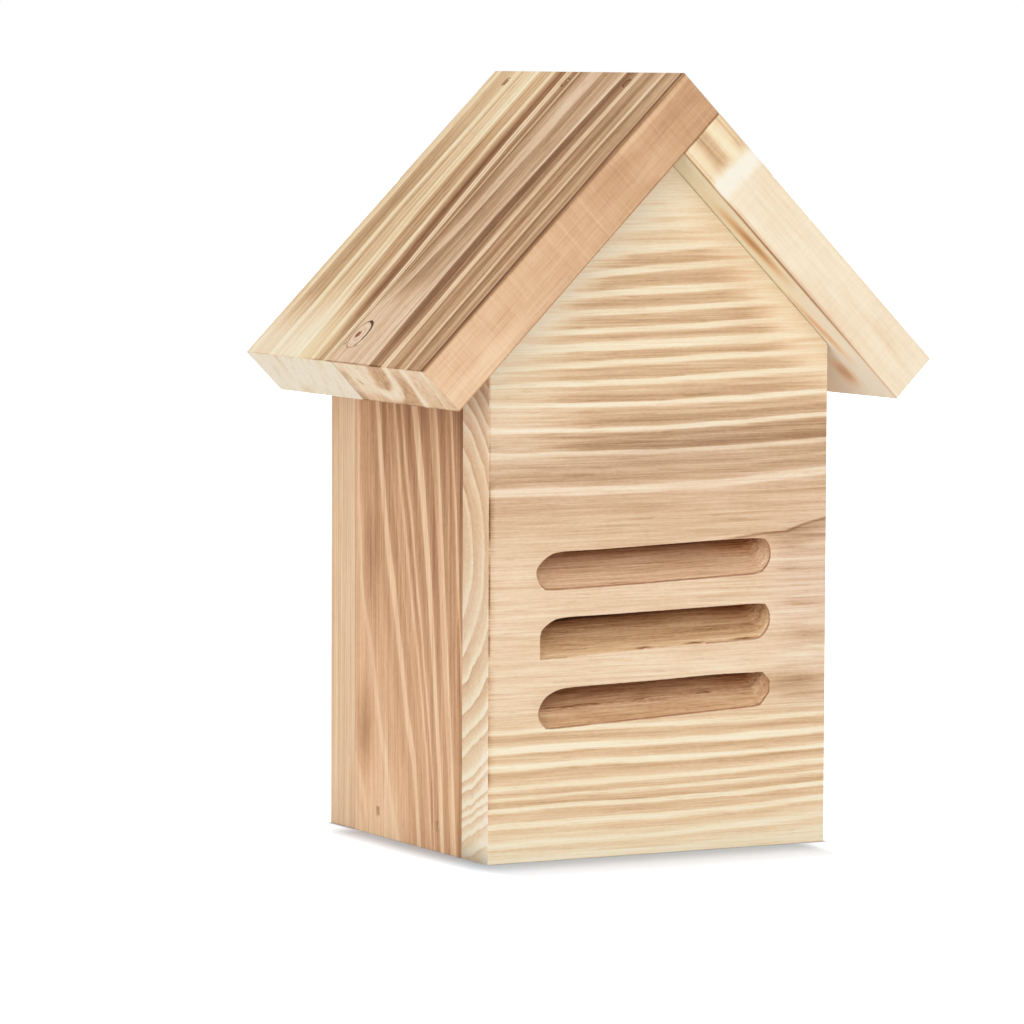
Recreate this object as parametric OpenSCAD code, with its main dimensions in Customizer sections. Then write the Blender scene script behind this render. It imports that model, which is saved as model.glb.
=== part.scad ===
// Gabled wooden house for ladybugs, made of seven glued and pinned softwood boards.
// Three routed slots in the front let the insects in, and a wire ring at the back hangs it up.
// Millimetres, +Z up, the front faces -Y. The origin is on the ground, at the centre of the footprint.

/* [Roof] */
// Height of the ridge above the ground
house_h = 230; // [215:1:280]
// Width across the eaves
roof_w = 170; // [150:1:200]
// Length of the roof along the ridge
roof_l = 118; // [100:1:150]
// Thickness of the two roof boards
roof_t = 16.5; // [13:0.5:20]
// Overhang of the roof in front of the front panel
front_overhang = 13; // [6:0.5:20]
// Overhang of the roof behind the back panel
back_overhang = 1.8; // [0.5:0.1:3]

/* [Walls] */
// Width of the front and back panels
body_w = 114; // [100:1:126]
// Thickness of the front and back panels
panel_t = 16.5; // [14:0.5:20]
// Thickness of the side boards
side_t = 16.5; // [13:0.5:20]
// Thickness of the floor board
floor_t = 15; // [12:0.5:20]
// Pitch at which the two gables are cut, a little steeper than the roof
gable_pitch = 46; // [45:0.5:48]
// Gap between the tips of the gables and the roof, measured upright
gable_gap = 0.3; // [0.1:0.1:2]

/* [Entry slots] */
// Number of entry slots, one above the other
slot_count = 3; // [1:1:4]
// Length of each slot from end to end
slot_l = 78; // [50:1:82]
// Diameter of the cutter, which is the clear height of a slot
slot_d = 8; // [6:0.5:9]
// Angle at which the slots rise inwards
slot_rise = 45; // [30:1:50]
// Angle at which the slots rise to the right
slot_tilt = 1.6; // [0:0.1:3]
// Height of the lowest slot's centre on the front face
slot_low_z = 46; // [40:1:52]
// Distance from slot to slot, measured upright
slot_step = 20; // [17:0.5:22]
// Sideways offset of the slots from the middle of the panel
slot_x = -1.7; // [-4:0.1:4]

/* [Brads] */
// Length of a brad, head included
brad_l = 30; // [26:1:35]
// Width of the shank
shank_w = 1.3; // [1:0.1:1.6]
// Thickness of the shank
shank_t = 1.1; // [0.8:0.1:1.4]
// Length of the chisel point
point_l = 2.5; // [1:0.5:4]
// Long side of the head
head_w = 2.4; // [2:0.1:3]
// Short side of the head
head_t = 1.7; // [1.5:0.1:2]
// Height of the head
head_h = 0.8; // [0.5:0.1:1]
// Depth to which a head is sunk below the wood's surface
head_sink = 0.5; // [0.2:0.1:1]
// Number of brads along the ridge
ridge_brads_n = 3; // [2:1:3]
// Distance from brad to brad along the ridge
ridge_brads_step = 38; // [30:1:40]
// Distance from the roof's back edge to the last ridge brad
ridge_brads_back = 13; // [8:1:18]
// Distance of the ridge brads from the ridge, down the slope
ridge_brads_down = 4.5; // [3:0.5:10]
// Distance between the two brads in each side of the floor
floor_brads_step = 39; // [25:1:50]
// Height of the lower brads in the back panel
back_brads_z = 32; // [22:1:45]
// Distance between the lower and upper brads in the back panel
back_brads_step = 85; // [60:1:95]

/* [Hanger] */
// Distance of the ring's pivot below the inner ridge line of the roof
pivot_drop = 31; // [28:1:45]
// Thickness of the steel strap
strap_t = 0.8; // [0.6:0.1:1.2]
// Width of the strap
strap_w = 9; // [8:0.5:11]
// Length of the strap below the ring's pivot
strap_l = 14; // [12:0.5:15]
// Diameter of the ring's wire
wire_d = 2; // [1.6:0.1:2.4]
// Radial clearance between the wire and the strap's eye
pivot_clear = 0.08; // [0.04:0.01:0.1]
// Width of the ring between the centres of its two legs
ring_w = 18; // [17:0.5:20]
// Length of the ring's straight legs, from the pivot to the round end
ring_leg = 14; // [12:0.5:15]
// Bend radius of the ring's two upper corners
ring_bend_r = 2.5; // [2:0.1:2.8]
// Distance of the strap's screw below the pivot
screw_drop = 8.5; // [7:0.5:9]
// Diameter of the screw's shank
screw_d = 3; // [2.5:0.1:3.4]
// Length of the screw's shank
screw_l = 12; // [8:0.5:13]
// Diameter of the screw's head
screw_head_d = 6; // [5:0.1:6.5]
// Height of the screw's head
screw_head_h = 1.8; // [1.6:0.1:2.2]
// Radial clearance of the screw in the strap and in the wood
screw_clear = 0.1; // [0.05:0.05:0.3]

/* [Hidden] */
$fn = 64;
// Square-cut roof boards of one slope meet squarely only at this pitch
pitch = 45;
// How far a cut runs past the face that it opens
past = 1;

// The strap's eye, and how far it stands behind the roof: both set the footprint's centre
eye_r = wire_d / 2 + pivot_clear;
eye_outer_r = eye_r + strap_t;
hanger_proud = 2 * eye_outer_r - back_overhang;
overall_l = roof_l + hanger_proud;

// Places along Y
roof_front_y = -overall_l / 2;
roof_back_y = roof_front_y + roof_l;
front_y = roof_front_y + front_overhang;
back_y = roof_back_y - back_overhang;
inner_front_y = front_y + panel_t;
inner_back_y = back_y - panel_t;
inner_l = inner_back_y - inner_front_y;

// Widths, slopes and heights
inner_w = body_w - 2 * side_t;
slope_l = roof_w / 2 / cos(pitch);
inner_ridge_z = house_h - roof_t / cos(pitch);
gable_tip_z = inner_ridge_z - gable_gap;
shoulder_z = gable_tip_z - body_w / 2 * tan(gable_pitch);
pivot_y = back_y + eye_outer_r;
pivot_z = inner_ridge_z - pivot_drop;

// Small features that follow the sizes above
seam_w = 0.3;
recess_w = screw_head_d * 0.5;
recess_t = screw_head_d * 0.13;
recess_depth = screw_head_h * 0.6;

// Places its children on the left slope: X runs down the slope from the ridge, Z into the wood
module on_left_slope() {
    translate([0, 0, house_h]) rotate([0, 180 - pitch, 0]) children();
}

// Places its children on the right slope: X runs down the slope from the ridge, Z out of the wood
module on_right_slope() {
    translate([0, 0, house_h]) rotate([0, pitch, 0]) children();
}

// A brad that goes in along +Z, with the wood's surface at Z = 0
module brad() {
    translate([-head_w / 2, -head_t / 2, head_sink]) cube([head_w, head_t, head_h]);
    brad_shank();
}

module brad_shank() {
    tip_z = head_sink + brad_l;
    rotate([90, 0, 0])
        linear_extrude(height = shank_t, center = true)
            polygon([
                [-shank_w / 2, head_sink + head_h],
                [shank_w / 2, head_sink + head_h],
                [shank_w / 2, tip_z - point_l],
                [0, tip_z],
                [-shank_w / 2, tip_z - point_l]
            ]);
}

// The hole that a brad leaves, open at the surface
module brad_hole() {
    translate([-head_w / 2, -head_t / 2, -past]) cube([head_w, head_t, past + head_sink + head_h]);
    brad_shank();
}

// Places its children at each ridge brad
module at_ridge_brads() {
    for (i = [0 : ridge_brads_n - 1])
        on_left_slope()
            translate([ridge_brads_down, roof_back_y - ridge_brads_back - i * ridge_brads_step, 0])
                children();
}

// Places its children at the floor brads of the left side, going in along +X
module at_left_floor_brads() {
    for (side = [-1, 1])
        translate([
            -body_w / 2,
            (inner_front_y + inner_back_y) / 2 + side * floor_brads_step / 2,
            floor_t / 2
        ])
            rotate([0, 90, 0]) children();
}

// Places its children at the brads of the back panel, going in along -Y
module at_back_brads() {
    for (side = [-1, 1], row = [0, 1])
        translate([side * (body_w - side_t) / 2, back_y, back_brads_z + row * back_brads_step])
            rotate([90, 90, 0]) children();
}

// One of the two gabled panels, with its outer or inner face at Y = 0 and its thickness along +Y
module gabled_panel() {
    translate([0, panel_t, 0]) rotate([90, 0, 0])
        linear_extrude(height = panel_t)
            polygon([
                [-body_w / 2, 0],
                [body_w / 2, 0],
                [body_w / 2, shoulder_z],
                [0, gable_tip_z],
                [-body_w / 2, shoulder_z]
            ]);
}

// The path of the cutter through the front panel, centred on the slot's middle at the front face
module slot_cut() {
    straight = slot_l - slot_d;
    reach = panel_t / cos(slot_rise) + 2 * slot_d;
    rotate([0, -slot_tilt, 0]) rotate([slot_rise - 90, 0, 0]) {
        for (side = [-1, 1])
            translate([side * straight / 2, 0, 0])
                cylinder(d = slot_d, h = 2 * reach, center = true);
        cube([straight, slot_d, 2 * reach], center = true);
    }
}

module front_panel() {
    color([0.88, 0.75, 0.56])
        difference() {
            translate([0, front_y, 0]) gabled_panel();
            for (i = [0 : slot_count - 1])
                translate([slot_x, front_y, slot_low_z + i * slot_step]) slot_cut();
        }
}

module back_panel() {
    color([0.80, 0.64, 0.46])
        difference() {
            translate([0, inner_back_y, 0]) gabled_panel();
            at_back_brads() brad_hole();
            at_screw() screw_hole(screw_l + screw_clear);
        }
}

// The left side board, standing between the panels, with its top bevelled to the roof
module side_board() {
    difference() {
        translate([0, inner_back_y, 0]) rotate([90, 0, 0])
            linear_extrude(height = inner_l)
                polygon([
                    [-body_w / 2, 0],
                    [-inner_w / 2, 0],
                    [-inner_w / 2, inner_ridge_z - inner_w / 2 * tan(pitch)],
                    [-body_w / 2, inner_ridge_z - body_w / 2 * tan(pitch)]
                ]);
        at_left_floor_brads() brad_hole();
        at_back_brads() brad_hole();
    }
}

module left_side() {
    color([0.74, 0.55, 0.40]) side_board();
}

module right_side() {
    color([0.76, 0.58, 0.42]) mirror([1, 0, 0]) side_board();
}

module floor_board() {
    color([0.84, 0.70, 0.52])
        difference() {
            translate([-inner_w / 2, inner_front_y, 0]) cube([inner_w, inner_l, floor_t]);
            at_left_floor_brads() brad_hole();
            mirror([1, 0, 0]) at_left_floor_brads() brad_hole();
        }
}

module left_roof_board() {
    color([0.72, 0.55, 0.40])
        difference() {
            on_left_slope() translate([0, roof_front_y, 0]) cube([slope_l, roof_l, roof_t]);
            at_ridge_brads() brad_hole();
        }
}

module right_roof_board() {
    color([0.92, 0.82, 0.64])
        difference() {
            on_right_slope()
                translate([roof_t, roof_front_y, -roof_t]) cube([slope_l - roof_t, roof_l, roof_t]);
            at_ridge_brads() brad_hole();
        }
}

module ridge_brads() {
    color([0.45, 0.38, 0.32]) at_ridge_brads() brad();
}

module left_floor_brads() {
    color([0.45, 0.38, 0.32]) at_left_floor_brads() brad();
}

module right_floor_brads() {
    color([0.45, 0.38, 0.32]) mirror([1, 0, 0]) at_left_floor_brads() brad();
}

module back_brads() {
    color([0.45, 0.38, 0.32]) at_back_brads() brad();
}

// Places its children at the strap's screw, with the wood's surface at Z = 0 and +Z into the wood
module at_screw() {
    translate([0, back_y, pivot_z - screw_drop]) rotate([90, 0, 0]) children();
}

// The round hole for the screw, from behind the strap to a depth in the wood
module screw_hole(depth) {
    translate([0, 0, -strap_t - past])
        cylinder(r = screw_d / 2 + screw_clear, h = strap_t + past + depth);
}

// Steel strap: a flat tab under the screw, rolled into an eye round the ring's wire
module hanger_strap() {
    color([0.72, 0.73, 0.75])
        difference() {
            union() {
                translate([-strap_w / 2, back_y, pivot_z - strap_l]) cube([strap_w, strap_t, strap_l]);
                translate([0, pivot_y, pivot_z]) rotate([0, 90, 0])
                    cylinder(r = eye_outer_r, h = strap_w, center = true);
            }
            translate([0, pivot_y, pivot_z]) rotate([0, 90, 0])
                cylinder(r = eye_r, h = strap_w + 2 * past, center = true);
            translate([-strap_w / 2 - past, back_y + strap_t, pivot_z - eye_outer_r - past])
                cube([strap_w + 2 * past, seam_w, eye_outer_r + past]);
            at_screw() screw_hole(past);
        }
}

// Pan-head screw with a cross recess
module hanger_screw() {
    edge_h = screw_head_h * 0.45;
    crown_r = screw_head_d * 0.32;
    color([0.78, 0.78, 0.80])
        at_screw() difference() {
            rotate_extrude()
                polygon([
                    [0, -strap_t - screw_head_h],
                    [crown_r, -strap_t - screw_head_h],
                    [screw_head_d / 2, -strap_t - edge_h],
                    [screw_head_d / 2, -strap_t],
                    [screw_d / 2, -strap_t],
                    [screw_d / 2, screw_l - screw_d],
                    [0, screw_l]
                ]);
            for (turn = [0, 90])
                rotate([0, 0, turn + pitch])
                    translate([-recess_w / 2, -recess_t / 2, -strap_t - screw_head_h - past])
                        cube([recess_w, recess_t, past + recess_depth]);
        }
}

// Wire ring with a straight bar in the strap's eye, two legs and a round lower end
module hanger_ring() {
    half_w = ring_w / 2;
    wire_r = wire_d / 2;
    color([0.70, 0.71, 0.73])
        translate([0, pivot_y, pivot_z]) {
            rotate([0, 90, 0])
                cylinder(r = wire_r, h = ring_w - 2 * ring_bend_r, center = true);
            for (side = [-1, 1]) {
                translate([side * half_w, 0, -ring_leg])
                    cylinder(r = wire_r, h = ring_leg - ring_bend_r);
                translate([side * (half_w - ring_bend_r), 0, -ring_bend_r])
                    rotate([90, side > 0 ? 0 : -90, 0])
                        rotate_extrude(angle = 90)
                            translate([ring_bend_r, 0]) circle(r = wire_r);
            }
            translate([0, 0, -ring_leg]) rotate([90, 180, 0])
                rotate_extrude(angle = 180)
                    translate([half_w, 0]) circle(r = wire_r);
        }
}

front_panel();
back_panel();
left_side();
right_side();
floor_board();
left_roof_board();
right_roof_board();
ridge_brads();
left_floor_brads();
right_floor_brads();
back_brads();
hanger_strap();
hanger_screw();
hanger_ring();
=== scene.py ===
import math

import bmesh
import bpy
from mathutils import Matrix, Vector
from mathutils.noise import noise as smooth_noise

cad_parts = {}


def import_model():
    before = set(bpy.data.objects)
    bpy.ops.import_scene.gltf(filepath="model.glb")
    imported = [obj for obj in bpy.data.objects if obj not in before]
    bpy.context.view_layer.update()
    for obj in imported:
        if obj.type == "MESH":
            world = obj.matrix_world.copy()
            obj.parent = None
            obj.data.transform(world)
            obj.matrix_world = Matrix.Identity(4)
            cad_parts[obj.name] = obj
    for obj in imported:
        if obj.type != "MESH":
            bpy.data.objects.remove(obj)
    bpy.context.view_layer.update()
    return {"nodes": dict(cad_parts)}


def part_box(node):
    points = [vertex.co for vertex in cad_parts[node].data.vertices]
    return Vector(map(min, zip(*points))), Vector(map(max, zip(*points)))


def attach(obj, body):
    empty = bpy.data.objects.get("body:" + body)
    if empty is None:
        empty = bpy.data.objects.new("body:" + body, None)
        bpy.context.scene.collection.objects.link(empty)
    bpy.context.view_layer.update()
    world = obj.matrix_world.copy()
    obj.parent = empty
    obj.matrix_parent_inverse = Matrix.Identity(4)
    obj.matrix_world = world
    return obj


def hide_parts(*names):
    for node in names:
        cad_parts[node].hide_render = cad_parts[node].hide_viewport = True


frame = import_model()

# The looks of a gabled wooden house for ladybugs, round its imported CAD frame.
# Lengths are millimetres where a name doesn't say otherwise, and Blender's metres are made at the end.
MM = 0.001
NODES = frame["nodes"]


def box_mm(node):
    """Lowest and highest corner of a CAD node, in millimetres."""
    low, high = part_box(node)
    return low / MM, high / MM


PANEL_LOW, PANEL_HIGH = box_mm("front_panel")
ROOF_LOW, ROOF_HIGH = box_mm("left_roof_board")
HALF_W = PANEL_HIGH.x
FRONT_Y = PANEL_LOW.y
PANEL_T = PANEL_HIGH.y - PANEL_LOW.y
BACK_Y = box_mm("back_panel")[1].y
ROOF_BACK_Y = ROOF_HIGH.y
HOUSE_H = ROOF_HIGH.z
UNDER_Z = HOUSE_H - PANEL_T * math.sqrt(2)
DIAGONAL = math.sqrt(0.5)
WHITE = (1, 1, 1, 1)

# How brown the flame has made the wood, from raw to deeply burnt, as sRGB from 0 to 255, judged
BURN = (
    (0.00, (248, 235, 211)),
    (0.12, (243, 224, 193)),
    (0.25, (237, 209, 175)),
    (0.4, (224, 190, 154)),
    (0.55, (207, 169, 132)),
    (0.7, (185, 146, 110)),
    (0.85, (162, 121, 87)),
    (1.00, (138, 97, 67)),
    (1.2, (98, 64, 42)),
)
TINTS = {
    "olive": (0.97, 1, 0.86),
    "straw": (1, 1, 0.92),
    "pink": (1.03, 0.98, 1.04),
    "peach": (1.04, 0.985, 0.96),
    "warm": (1.04, 0.95, 0.88),
    "russet": (1.02, 0.84, 0.72),
    "grey": (0.95, 0.99, 1.05),
    "cool": (0.98, 1, 1.01),
    "pale": (1, 1.02, 1.05),
    "rose": (1.01, 0.995, 1.045),
}
# Near-black: char on the knot's bark and the slots' rims, and painted shadow under the slots' upper lips
CHAR_AND_SHADOW = (60, 33, 22)
SINGED = (142, 76, 40)
RUST = (140, 78, 58)
ZINC = (198, 201, 205)
DULL_ZINC = (150, 152, 154)
WIRE = (196, 172, 142)
DULL_WIRE = (132, 104, 78)


def linear(channel):
    """One sRGB channel from 0 to 255, as linear light."""
    value = channel / 255
    return value / 12.92 if value <= 0.04045 else ((value + 0.055) / 1.055) ** 2.4


def rgba(colour):
    """An sRGB colour as linear RGBA."""
    return tuple(linear(channel) for channel in colour) + (1,)


class Field:
    """A number or colour that varies over a surface: a shader socket with arithmetic."""

    def __init__(self, tree, socket):
        self.tree = tree
        self.socket = socket

    def node(self, kind, inputs, output=0, **settings):
        """A new shader node of this tree, with its inputs set or linked, as the field of one output."""
        made = self.tree.nodes.new("ShaderNode" + kind)
        for key, value in settings.items():
            setattr(made, key, value)
        for key, value in inputs.items():
            if isinstance(value, Field):
                self.tree.links.new(value.socket, made.inputs[key])
            else:
                made.inputs[key].default_value = value
        return Field(self.tree, made.outputs[output])

    def math(self, operation, first, second=0):
        return self.node("Math", {0: first, 1: second}, operation=operation)

    def __rsub__(self, other):
        return self.math("SUBTRACT", other, self)

    def __neg__(self):
        return self * -1

    def rise(self, low, high, smooth=True):
        """0 below low and 1 above high, or the other way round if low is the higher."""
        start, end = (0, 1) if low < high else (1, 0)
        return self.node(
            "MapRange",
            {0: self, 1: min(low, high), 2: max(low, high), 3: start, 4: end},
            interpolation_type="SMOOTHSTEP" if smooth else "LINEAR",
        )

    def near(self, centre, reach):
        """1 at a place, falling smoothly to 0 at a reach on both sides of it."""
        return (self - centre).size().rise(reach, 0)

    def toward(self, other, share):
        """This number, moved by a share towards another."""
        return self + (other - self) * share

    def mixed(self, other, share, blend="MIX"):
        """A colour, mixed by a share with another one."""
        return self.node(
            "Mix",
            {0: share, 6: self, 7: other},
            output=2,
            data_type="RGBA",
            blend_type=blend,
        )

    def tinted(self, name, share=1):
        """A colour under a named tint, by a share."""
        return self.mixed(TINTS[name] + (1,), share, "MULTIPLY")

    def washed(self, *tints):
        """A colour under several tints, each (name, share)."""
        made = self
        for name, share in tints:
            made = made.tinted(name, share)
        return made

    def ramp(self, stops, output):
        """A colour ramp over the field: stops are (place, RGBA), in rising order."""
        low, high = stops[0][0], stops[-1][0]
        share = (self - low) / (high - low)
        made = share.node("ValToRGB", {0: share}, output=output)
        ramp = made.socket.node.color_ramp
        for index, (place, colour) in enumerate(stops):
            position = (place - low) / (high - low)
            if index < 2:
                ramp.elements[index].position = position
            else:
                ramp.elements.new(position)
        for element, (place, colour) in zip(ramp.elements, stops):
            element.color = colour
        return made

    def graph(self, points, reach=45, most_stops=28):
        """A number that goes in straight lines through points (place, value), on ramps up to a reach long."""
        low = min(value for place, value in points)
        span = max(value for place, value in points) - low
        stops = [(place, ((value - low) / span,) * 4) for place, value in points]
        made = None
        start = 0
        while start < len(stops) - 1:
            end = start + 1
            limit = min(len(stops) - 1, start + most_stops)
            while end < limit and stops[end + 1][0] - stops[start][0] < reach:
                end += 1
            part = self.ramp(stops[start:end + 1], 1)
            made = part if made is None else made.toward(part, self.over(stops[start][0]))
            start = end
        return made * span + low

    def burnt(self):
        """The wood's colour at a burn level from 0 to 1."""
        return self.ramp([(level, rgba(colour)) for level, colour in BURN], 0)


def method(operation):
    """A method of a field that does one of Blender's math operations."""
    return lambda field, other=0: field.math(operation, field, other)


OPERATIONS = {
    "__add__": "ADD",
    "__radd__": "ADD",
    "__sub__": "SUBTRACT",
    "__mul__": "MULTIPLY",
    "__rmul__": "MULTIPLY",
    "__truediv__": "DIVIDE",
    "root": "SQRT",
    "size": "ABSOLUTE",
    "sign": "SIGN",
    "floor": "FLOOR",
    "wave": "SINE",
    "least": "MINIMUM",
    "most": "MAXIMUM",
    "over": "GREATER_THAN",
}
for name, operation in OPERATIONS.items():
    setattr(Field, name, method(operation))


def distance(first, second):
    """How far a place is from another one, whose coordinates differ by two fields."""
    return (first * first + second * second).root()


def split(vector):
    """The three components of a vector field."""
    first = vector.node("SeparateXYZ", {0: vector})
    return [Field(vector.tree, socket) for socket in first.socket.node.outputs]


class Wood:
    """The material of one board or metal part, with the part's own coordinates in millimetres."""

    def __init__(self, name):
        self.material = bpy.data.materials.new(name)
        self.material.use_nodes = True
        self.tree = self.material.node_tree
        self.shader = self.tree.nodes["Principled BSDF"]
        places = self.tree.nodes.new("ShaderNodeTexCoord")
        here = Field(self.tree, places.outputs["Object"])
        facing = Field(self.tree, places.outputs["Normal"])
        self.x, self.y, self.z = (axis / MM for axis in split(here))
        self.facing_x, self.facing_y, self.facing_z = split(facing)
        # 1 where a face looks up to the right at 45 degrees, -1 where it looks the opposite way
        self.lean = (self.facing_x + self.facing_z) * DIAGONAL

    def attribute(self, name):
        """A number that the piece's mesh carries at its vertices."""
        made = self.tree.nodes.new("ShaderNodeAttribute")
        made.attribute_name = name
        return Field(self.tree, made.outputs["Fac"])

    def finish(self, colour, rough, height, strength, depth):
        """The material with its colour, roughness and relief, a number of millimetres deep."""
        bump = height.node("Bump", {"Height": height, "Strength": strength, "Distance": depth * MM})
        for name, field in (("Base Color", colour), ("Roughness", rough), ("Normal", bump)):
            self.tree.links.new(field.socket, self.shader.inputs[name])
        return self.material


NOISE_OFFSETS = (1.37, 2.11, 0.73)
NOISE_SPREAD = 3.2


def noise_on(*places):
    """A maker of smooth noise round 0, seldom beyond -1 or 1, over three places on a board."""
    def noise(scales, seed, detail=2, rough=0.5):
        """The scales are per millimetre along each place, and two of them stand for (a, b, b)."""
        u, v, w = (
            place * scale + seed * offset
            for place, scale, offset in zip(places, scales + scales[1:], NOISE_OFFSETS)
        )
        vector = u.node("CombineXYZ", {0: u, 1: v, 2: w})
        inputs = {"Vector": vector, "Scale": 1, "Detail": detail, "Roughness": rough}
        return (vector.node("TexNoise", inputs) - 0.5) * NOISE_SPREAD
    return noise


def random(number, seed):
    """A random value from 0 to 1 for each whole number."""
    value = number + seed
    return value.node("TexWhiteNoise", {"W": value}, noise_dimensions="1D")


def flow(along, across, places, stations):
    """The place at the first station of the grain line through a point."""
    made = None
    last = None
    for at, positions in stations:
        here = across.graph(list(zip(positions, places)), 400)
        made = here if made is None else made.toward(here, along.rise(last, at, smooth=False))
        last = at
    return made


PAST_LINE = 0.4
BEFORE_LINE = 0.7


def ring_stops(rings, first, last):
    """Burn levels across the rings, between two end stops (place, level).

    Each ring is (place of its raised pale line, the line's width, burn on it, burn just past it,
    deepest burn, place of that), in rising order, with burns in percent.
    """
    stops = [first]
    for ring, following in zip(rings, rings[1:] + (None,)):
        line, width, pale, after, deepest, at = ring
        end = line + width / 2
        stops += [(line - width / 2, pale / 100), (end, pale / 100), (end + PAST_LINE, after / 100)]
        if at > stops[-1][0] + 0.1:
            stops.append((at, deepest / 100))
        if following:
            # Just before the next line the burn has begun to fade
            edge = following[0] - following[1] / 2 - BEFORE_LINE
            if edge > stops[-1][0] + 0.1:
                stops.append((edge, (deepest * 0.78 + following[2] * 0.22) / 100))
    if last[0] > stops[-1][0]:
        stops.append(last)
    return stops


def fibres(noise, strength=1):
    """Burn added by streaks, hairlines, flecks and dashes along the grain, and their height."""
    streak = noise((0.012, 0.5), 3, 3, 0.6)
    hair = noise((0.018, 1.3), 9, 2, 0.75)
    fine = noise((0.05, 2.4), 13, 1)
    grit = noise((0.55, 2), 27, 1)
    fleck = noise((0.11, 1.25), 21, 1).rise(0.42, 0.8)
    dash = noise((0.045, 0.85), 33, 1).rise(0.45, 0.85)
    burn = streak * 0.06 + hair * 0.13 + fine * 0.1 + grit * 0.045 + fleck * 0.08 + dash * 0.05
    height = hair * 0.6 + streak * 0.4 + fine * 0.3 - fleck * 0.9 - dash * 0.4
    return burn * strength, height * strength


def finish(wood, colour, height, depth=0.1, rough=0.64, shine=0.14):
    """A finished wood, with a dull natural sheen."""
    wood.shader.inputs["Specular IOR Level"].default_value = shine
    return wood.finish(colour, rough - height * 0.03, height, 0.6, depth)


# Front panel. Its rings share a pith behind it, so the lines on its face and the arcs on its ends agree.
# Places run up the face, and each station says where the lines are at one distance x from the middle.
FRONT_PITH_Y = -4.5
FRONT_PITH_Z = 87
FRONT_PLACES = (
    -0.5, 5.8, 11.3, 16.1, 19.6, 22.8, 28.2, 33.2, 38.4, 60, 90, 108.5, 119, 125.9, 133.3,
    139.8, 145.6, 151, 155.3, 160.9, 166.5, 173.1, 178.9, 186.5, 191.5, 212,
)
FRONT_STATIONS = (
    (-57, (
        -1.5, 5, 10.8, 15.7, 18.7, 22, 28, 33, 38.3, 59, 90, 108.5, 119, 126.7, 134,
        139.2, 144.2, 149.8, 154.2, 159.5, 164.5, 170, 176, 184, 190, 210,
    )),
    (-28, (
        -1, 5.7, 11.3, 16.2, 19.5, 22.8, 28.6, 33.7, 38.8, 60, 90, 108.3, 119.2, 126, 133.3,
        139.6, 145, 150.4, 154.8, 160, 165.4, 170.7, 177, 185.5, 191, 211,
    )),
    (0, FRONT_PLACES),
    (28, (
        0.5, 6.8, 12, 16.6, 20.2, 23.6, 28.4, 33.3, 38.3, 61, 91.5, 109.3, 119.4, 126.9, 134,
        141, 146.8, 151.6, 156.5, 162, 167.8, 174.3, 180.6, 188, 192.6, 213,
    )),
    (57, (
        2, 8.6, 13.7, 18, 21.4, 25, 29.3, 34.2, 39, 62, 94, 112, 121, 128.5, 135.5,
        142.5, 147.5, 152.5, 158, 164, 170, 176, 182, 190, 195, 215,
    )),
)
FRONT_RINGS = (
    (0.8, 2.5, 7, 14, 22, 4.3), (5.9, 1, 5, 17, 33, 9.3), (11.3, 1.1, 5, 32, 43, 14.5),
    (16.1, 0.9, 6, 46, 47, 17.5), (19.6, 0.5, 11, 37, 42, 21.2), (22.8, 0.9, 5, 25, 58, 26.6),
    (28.2, 1, 4, 28, 42, 30.2), (30.9, 0.3, 42, 50, 56, 31.6), (33.2, 1.5, 2, 28, 48, 36.2),
    (38.4, 0.9, 11, 30, 34, 41), (45, 2, 24, 26, 30, 49), (54, 4, 22, 24, 28, 62),
    (68, 4, 26, 27, 30, 78), (85, 4, 28, 30, 42, 99), (101, 0.6, 42, 44, 52, 103.4),
    (108.5, 1.8, 22, 42, 60, 112), (114.2, 0.6, 44, 53, 59, 115.2), (119, 0.9, 24, 68, 77, 120.7),
    (122.7, 0.6, 57, 62, 66, 124), (125.9, 0.9, 15, 51, 64, 128), (130.1, 0.6, 46, 51, 54, 131.2),
    (133.3, 1, 9, 54, 60, 134.9), (137, 0.5, 42, 50, 48, 138), (139.8, 1.1, 8, 48, 54, 141.8),
    (145.6, 1.3, 9, 48, 58, 147.2), (150.8, 2, 9, 35, 62, 153.3), (155.3, 1, 9, 50, 60, 158),
    (160.9, 1.3, 10, 43, 60, 163.5), (166.5, 1.5, 10, 43, 64, 169.3), (173.1, 1.6, 10, 48, 58, 174.9),
    (178.9, 1.6, 9, 22, 36, 181.6), (185.2, 1.6, 9, 28, 32, 186.8), (189.5, 3, 9, 14, 28, 191.7),
    (194.5, 3, 10, 16, 30, 197.5), (202, 6, 14, 17, 22, 207),
)
END_PITH_Z = 90
UPPER_ARCS = (25, 32.5, 40, 46.5, 52, 56.3, 60.4, 64.1, 68, 72.5)
LOWER_ARCS = (25, 32.5, 40, 46.5, 54.4, 60.4, 64.9, 71.9, 75, 79.5, 82, 84.5, 88, 93.5, 99)
VEIN = ((14, 91.8), (24, 92.4), (36, 93.6), (43, 93.9), (49, 95.9), (57, 97.6))


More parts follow.
